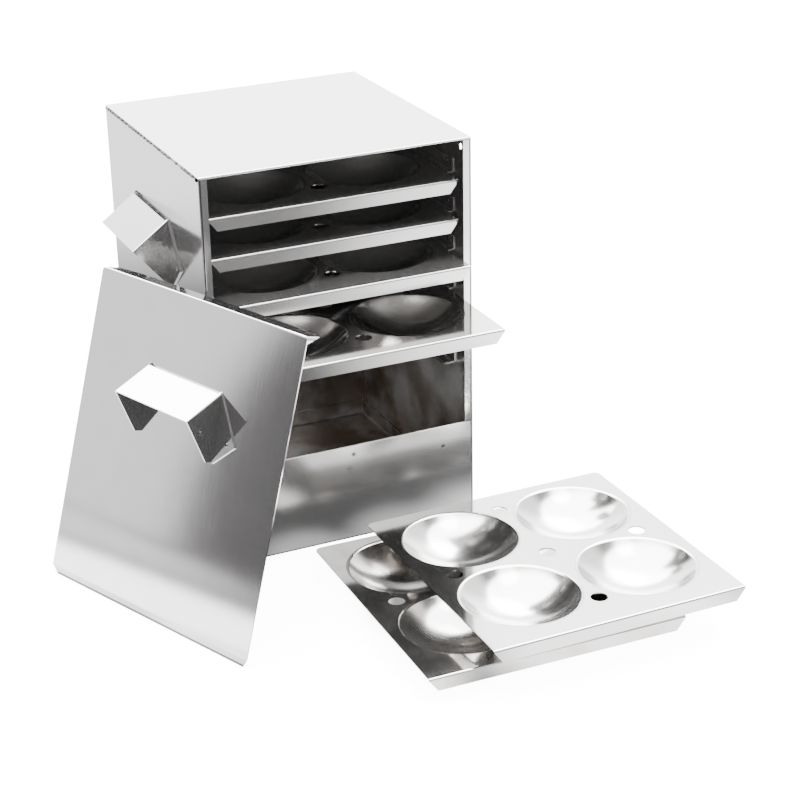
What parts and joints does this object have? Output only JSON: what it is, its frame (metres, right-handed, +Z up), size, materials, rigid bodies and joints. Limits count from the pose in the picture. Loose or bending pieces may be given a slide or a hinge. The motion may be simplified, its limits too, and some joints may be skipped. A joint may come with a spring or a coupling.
{
  "type": "box idli steamer",
  "caption": "Square stainless box steamer: water tank at the bottom, an open front with runners, slide-in trays of round bowls, a lift-off hook-on lid and folded strip handles.",
  "frame": {"origin": "middle of the cabinet's base, on the surface that it stands on", "axes": "+Z up, -Y out of the open front, +X to the right seen from the front"},
  "size_m": [0.441, 0.5111, 0.329],
  "materials": {
    "cabinet_sheet": "polished",
    "runner_sheet": "polished",
    "handle_strip": "polished",
    "tray_sheet": "polished",
    "lid_sheet": "polished"
  },
  "bodies": {
    "cabinet": {"top_panel": "cabinet_sheet", "right_side_panel": "cabinet_sheet", "left_side_panel": "cabinet_sheet", "back_panel": "cabinet_sheet", "bottom_pan": "cabinet_sheet", "front_apron": "cabinet_sheet", "right_front_stile": "cabinet_sheet", "left_front_stile": "cabinet_sheet", "right_runner_1": "runner_sheet", "left_runner_1": "runner_sheet", "right_runner_2": "runner_sheet", "left_runner_2": "runner_sheet", "right_runner_3": "runner_sheet", "left_runner_3": "runner_sheet", "right_runner_4": "runner_sheet", "left_runner_4": "runner_sheet", "right_runner_5": "runner_sheet", "left_runner_5": "runner_sheet", "right_runner_6": "runner_sheet", "left_runner_6": "runner_sheet", "right_side_handle": "handle_strip", "left_side_handle": "handle_strip"},
    "tray_1": {"tray_1": "tray_sheet"},
    "tray_2": {"tray_2": "tray_sheet"},
    "tray_3": {"tray_3": "tray_sheet"},
    "tray_4": {"tray_4": "tray_sheet"},
    "loose_tray_lower": {"loose_tray_lower": "tray_sheet"},
    "loose_tray_upper": {"loose_tray_upper": "tray_sheet"},
    "lid": {"lid_panel": "lid_sheet", "lid_handle": "handle_strip"}
  },
  "joints": [
    {"name": "tray_1_slide", "type": "slide", "parent": "cabinet", "child": "tray_1", "axis": [0, -1, 0], "range_m": [0, 0.085]},
    {"name": "tray_2_slide", "type": "slide", "parent": "cabinet", "child": "tray_2", "axis": [0, -1, 0], "range_m": [0, 0.085]},
    {"name": "tray_3_slide", "type": "slide", "parent": "cabinet", "child": "tray_3", "axis": [0, -1, 0], "range_m": [-0.0215, 0.056]},
    {"name": "tray_4_slide", "type": "slide", "parent": "cabinet", "child": "tray_4", "axis": [0, -1, 0], "range_m": [-0.0815, 0.0035]},
    {"name": "lid_away", "type": "slide", "parent": "cabinet", "child": "lid", "axis": [-0.9269, -0.3754, 0], "range_m": [0, 0.12]},
    {"name": "loose_tray_lower_lift", "type": "slide", "parent": "cabinet", "child": "loose_tray_lower", "axis": [0, 0, 1], "range_m": [0, 0.05]},
    {"name": "loose_tray_upper_lift", "type": "slide", "parent": "loose_tray_lower", "child": "loose_tray_upper", "axis": [0, 0, 1], "range_m": [0, 0.06]}
  ]
}
